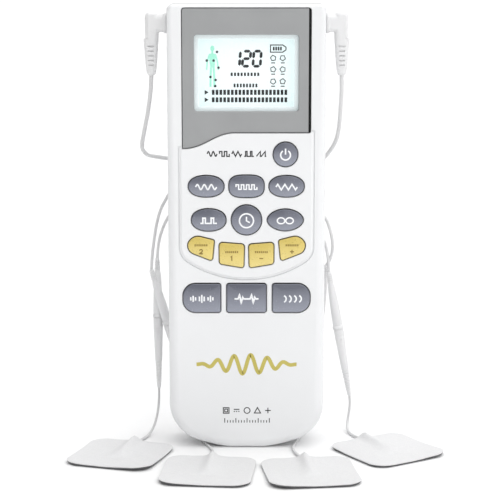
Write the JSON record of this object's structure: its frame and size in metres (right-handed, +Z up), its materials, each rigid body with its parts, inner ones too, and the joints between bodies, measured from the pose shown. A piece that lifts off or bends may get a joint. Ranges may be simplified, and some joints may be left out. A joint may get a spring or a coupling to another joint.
{
  "type": "tens unit",
  "caption": "Hand-held nerve stimulator standing upright, with display, keypad, plugged-in lead sets and white electrode pads lying in front.",
  "frame": {"origin": "middle of the small flat at the foot of the case, on the surface it stands on", "axes": "+Z up the case towards the display, +X to the right seen from the keypad side, the keypad faces -Y"},
  "size_m": [0.1562, 0.0906, 0.186],
  "materials": {
    "case_white": "semi-gloss moulded ABS",
    "screw_steel": "zinc plated",
    "panel_grey": "satin grey painted panel",
    "window_clear": "clear acrylic window",
    "display_glass": "reflective liquid crystal display",
    "mat_rubber": "moulded silicone keypad",
    "board_green": "solder-masked glass-fibre board",
    "ferrite": "ferrite core and taped winding",
    "battery_can": "lacquered cell jacket",
    "contact_nickel": "nickel plated",
    "jack_black": "moulded nylon",
    "key_grey": "metallic slate grey, glossy",
    "key_gold": "metallic gold, glossy",
    "plug_white": "moulded soft vinyl",
    "lead_white": "soft vinyl insulation",
    "pad_cloth": "non-woven cloth backing"
  },
  "bodies": {
    "root_case": {"front_shell": "case_white", "rear_shell": "case_white", "case_screw": "screw_steel", "display_panel": "panel_grey", "lcd_window": "window_clear", "lcd_module": "display_glass", "keypad_mat": "mat_rubber", "circuit_board": "board_green", "transformer_left": "ferrite", "transformer_right": "ferrite", "battery_1": "battery_can", "battery_2": "battery_can", "battery_3": "battery_can", "contact_plate_lower": "contact_nickel", "contact_plate_upper": "contact_nickel", "jack_left": "jack_black", "jack_right": "jack_black"},
    "battery_door": {"battery_door": "case_white"},
    "power_button": {"power_button": "key_grey"},
    "program_1_button": {"program_1_button": "key_grey"},
    "program_2_button": {"program_2_button": "key_grey"},
    "program_3_button": {"program_3_button": "key_grey"},
    "program_4_button": {"program_4_button": "key_grey"},
    "timer_button": {"timer_button": "key_grey"},
    "continuous_button": {"continuous_button": "key_grey"},
    "channel_2_button": {"channel_2_button": "key_gold"},
    "channel_1_button": {"channel_1_button": "key_gold"},
    "intensity_down_button": {"intensity_down_button": "key_gold"},
    "intensity_up_button": {"intensity_up_button": "key_gold"},
    "mode_1_button": {"mode_1_button": "key_grey"},
    "mode_2_button": {"mode_2_button": "key_grey"},
    "mode_3_button": {"mode_3_button": "key_grey"},
    "left_leads": {"plug_body_left": "plug_white", "plug_tip_left": "contact_nickel", "main_cord_left": "lead_white", "yoke_left": "plug_white", "branch_cord_1": "lead_white", "pin_connector_1": "plug_white", "lead_socket_1": "plug_white", "pigtail_cord_1": "lead_white", "electrode_pad_1": "pad_cloth", "branch_cord_2": "lead_white", "pin_connector_2": "plug_white", "lead_socket_2": "plug_white", "pigtail_cord_2": "lead_white", "electrode_pad_2": "pad_cloth"},
    "right_leads": {"plug_body_right": "plug_white", "plug_tip_right": "contact_nickel", "main_cord_right": "lead_white", "yoke_right": "plug_white", "branch_cord_3": "lead_white", "pin_connector_3": "plug_white", "lead_socket_3": "plug_white", "pigtail_cord_3": "lead_white", "electrode_pad_3": "pad_cloth", "branch_cord_4": "lead_white", "pin_connector_4": "plug_white", "lead_socket_4": "plug_white", "pigtail_cord_4": "lead_white", "electrode_pad_4": "pad_cloth"}
  },
  "joints": [
    {"name": "power_press", "type": "slide", "parent": "root_case", "child": "power_button", "axis": [0, 1, 0], "range_m": [0, 0.0008], "stiffness_N_per_m": 300},
    {"name": "program_1_press", "type": "slide", "parent": "root_case", "child": "program_1_button", "axis": [0, 1, 0], "range_m": [0, 0.0008], "stiffness_N_per_m": 300},
    {"name": "program_2_press", "type": "slide", "parent": "root_case", "child": "program_2_button", "axis": [0, 1, 0], "range_m": [0, 0.0008], "stiffness_N_per_m": 300},
    {"name": "program_3_press", "type": "slide", "parent": "root_case", "child": "program_3_button", "axis": [0, 1, 0], "range_m": [0, 0.0008], "stiffness_N_per_m": 300},
    {"name": "program_4_press", "type": "slide", "parent": "root_case", "child": "program_4_button", "axis": [0, 1, 0], "range_m": [0, 0.0008], "stiffness_N_per_m": 300},
    {"name": "timer_press", "type": "slide", "parent": "root_case", "child": "timer_button", "axis": [0, 1, 0], "range_m": [0, 0.0008], "stiffness_N_per_m": 300},
    {"name": "continuous_press", "type": "slide", "parent": "root_case", "child": "continuous_button", "axis": [0, 1, 0], "range_m": [0, 0.0008], "stiffness_N_per_m": 300},
    {"name": "channel_2_press", "type": "slide", "parent": "root_case", "child": "channel_2_button", "axis": [0, 1, 0], "range_m": [0, 0.0008], "stiffness_N_per_m": 300},
    {"name": "channel_1_press", "type": "slide", "parent": "root_case", "child": "channel_1_button", "axis": [0, 1, 0], "range_m": [0, 0.0008], "stiffness_N_per_m": 300},
    {"name": "intensity_down_press", "type": "slide", "parent": "root_case", "child": "intensity_down_button", "axis": [0, 1, 0], "range_m": [0, 0.0008], "stiffness_N_per_m": 300},
    {"name": "intensity_up_press", "type": "slide", "parent": "root_case", "child": "intensity_up_button", "axis": [0, 1, 0], "range_m": [0, 0.0008], "stiffness_N_per_m": 300},
    {"name": "mode_1_press", "type": "slide", "parent": "root_case", "child": "mode_1_button", "axis": [0, 1, 0], "range_m": [0, 0.0008], "stiffness_N_per_m": 300},
    {"name": "mode_2_press", "type": "slide", "parent": "root_case", "child": "mode_2_button", "axis": [0, 1, 0], "range_m": [0, 0.0008], "stiffness_N_per_m": 300},
    {"name": "mode_3_press", "type": "slide", "parent": "root_case", "child": "mode_3_button", "axis": [0, 1, 0], "range_m": [0, 0.0008], "stiffness_N_per_m": 300},
    {"name": "battery_door_slide", "type": "slide", "parent": "root_case", "child": "battery_door", "axis": [0, 0, -1], "range_m": [0, 0.008]},
    {"name": "left_plug_pull", "type": "slide", "parent": "root_case", "child": "left_leads", "axis": [-1, 0, 0], "range_m": [0, 0.014]},
    {"name": "right_plug_pull", "type": "slide", "parent": "root_case", "child": "right_leads", "axis": [1, 0, 0], "range_m": [0, 0.014]}
  ]
}
